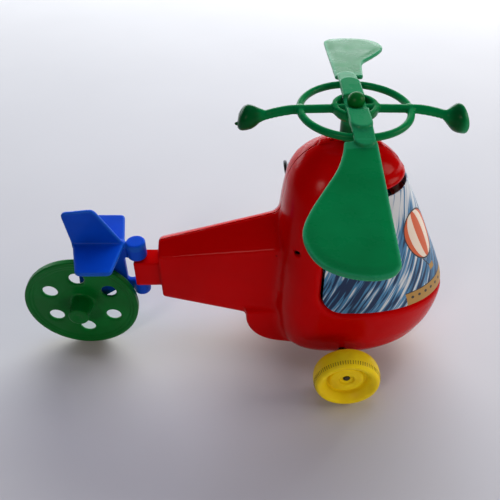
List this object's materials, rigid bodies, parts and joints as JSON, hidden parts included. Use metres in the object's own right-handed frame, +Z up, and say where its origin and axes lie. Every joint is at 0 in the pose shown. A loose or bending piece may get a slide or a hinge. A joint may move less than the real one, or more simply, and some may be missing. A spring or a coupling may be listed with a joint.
{
  "type": "toy helicopter",
  "caption": "Clockwork plastic toy helicopter: a red body with a printed windscreen card, a spinning ring-and-blade rotor, front wheels geared to it and a steerable tail wheel.",
  "frame": {"origin": "on the floor, under the middle of the object's box", "axes": "+X towards the nose, +Y to port, +Z up"},
  "size_m": [0.1508, 0.1282, 0.1012],
  "materials": {
    "red_plastic": "glossy moulded red",
    "green_plastic": "satin moulded green",
    "blue_plastic": "satin moulded blue",
    "yellow_plastic": "soft satin yellow",
    "printed_card": "coated printed card",
    "bright_steel": "bright rolled steel",
    "dark_steel": "dull tempered steel",
    "gear_brass": "stamped brass"
  },
  "bodies": {
    "body": {"body_shell_right": "red_plastic", "body_shell_left": "red_plastic", "windscreen_card": "printed_card", "motor_plate_right": "bright_steel", "motor_plate_left": "bright_steel", "motor_pillar_1": "bright_steel", "motor_pillar_2": "bright_steel", "motor_pillar_3": "bright_steel", "motor_pillar_4": "bright_steel", "mast_bridge": "bright_steel", "mainspring": "dark_steel"},
    "rotor": {"rotor_ring": "green_plastic", "rotor_blades": "green_plastic", "rotor_ball": "green_plastic", "rotor_shaft": "bright_steel", "mast_pinion": "gear_brass"},
    "drive": {"drive_arbor": "bright_steel", "drive_pinion": "gear_brass", "drive_wheel": "gear_brass", "crown_wheel": "gear_brass"},
    "axle": {"front_axle": "bright_steel", "axle_pinion": "gear_brass", "front_wheel_right": "yellow_plastic", "front_wheel_left": "yellow_plastic"},
    "intermediate": {"intermediate_arbor": "bright_steel", "intermediate_pinion": "gear_brass", "intermediate_wheel": "gear_brass"},
    "great": {"great_wheel": "gear_brass", "click": "bright_steel"},
    "winding": {"winding_arbor": "bright_steel", "ratchet_wheel": "bright_steel", "winding_key": "dark_steel"},
    "tail": {"tail_bracket": "blue_plastic"},
    "tail_wheel": {"tail_wheel": "green_plastic"}
  },
  "joints": [
    {"name": "rotor_spin", "type": "hinge", "parent": "body", "child": "rotor", "pos_m": [0.0371, 0, 0.09585], "axis": [0, 0, 1], "continuous": true},
    {"name": "drive_spin", "type": "hinge", "parent": "body", "child": "drive", "pos_m": [0.0371, 0, 0.02506], "axis": [0, 1, 0], "continuous": true},
    {"name": "front_axle_spin", "type": "hinge", "parent": "body", "child": "axle", "pos_m": [0.0394, 0, 0.01145], "axis": [0, 1, 0], "continuous": true},
    {"name": "intermediate_spin", "type": "hinge", "parent": "body", "child": "intermediate", "pos_m": [0.02745, 0, 0.03316], "axis": [0, 1, 0], "continuous": true},
    {"name": "great_wheel_spin", "type": "hinge", "parent": "body", "child": "great", "pos_m": [0.02305, 0, 0.04432], "axis": [0, 1, 0], "continuous": true},
    {"name": "key_wind", "type": "hinge", "parent": "great", "child": "winding", "pos_m": [0.02305, 0, 0.04432], "axis": [0, 1, 0], "continuous": true},
    {"name": "tail_swivel", "type": "hinge", "parent": "body", "child": "tail", "pos_m": [-0.033, 0, 0.0337], "axis": [0, 0, 1], "range_deg": [-30, 30]},
    {"name": "tail_wheel_spin", "type": "hinge", "parent": "tail", "child": "tail_wheel", "pos_m": [-0.0549, -0.0045, 0.0204], "axis": [0, 1, 0], "continuous": true}
  ],
  "couplings": [
    {"joint": "drive_spin", "follows": "rotor_spin", "ratio": 0.5},
    {"joint": "front_axle_spin", "follows": "rotor_spin", "ratio": -1.8},
    {"joint": "intermediate_spin", "follows": "rotor_spin", "ratio": -0.15625},
    {"joint": "great_wheel_spin", "follows": "rotor_spin", "ratio": 0.052083}
  ]
}
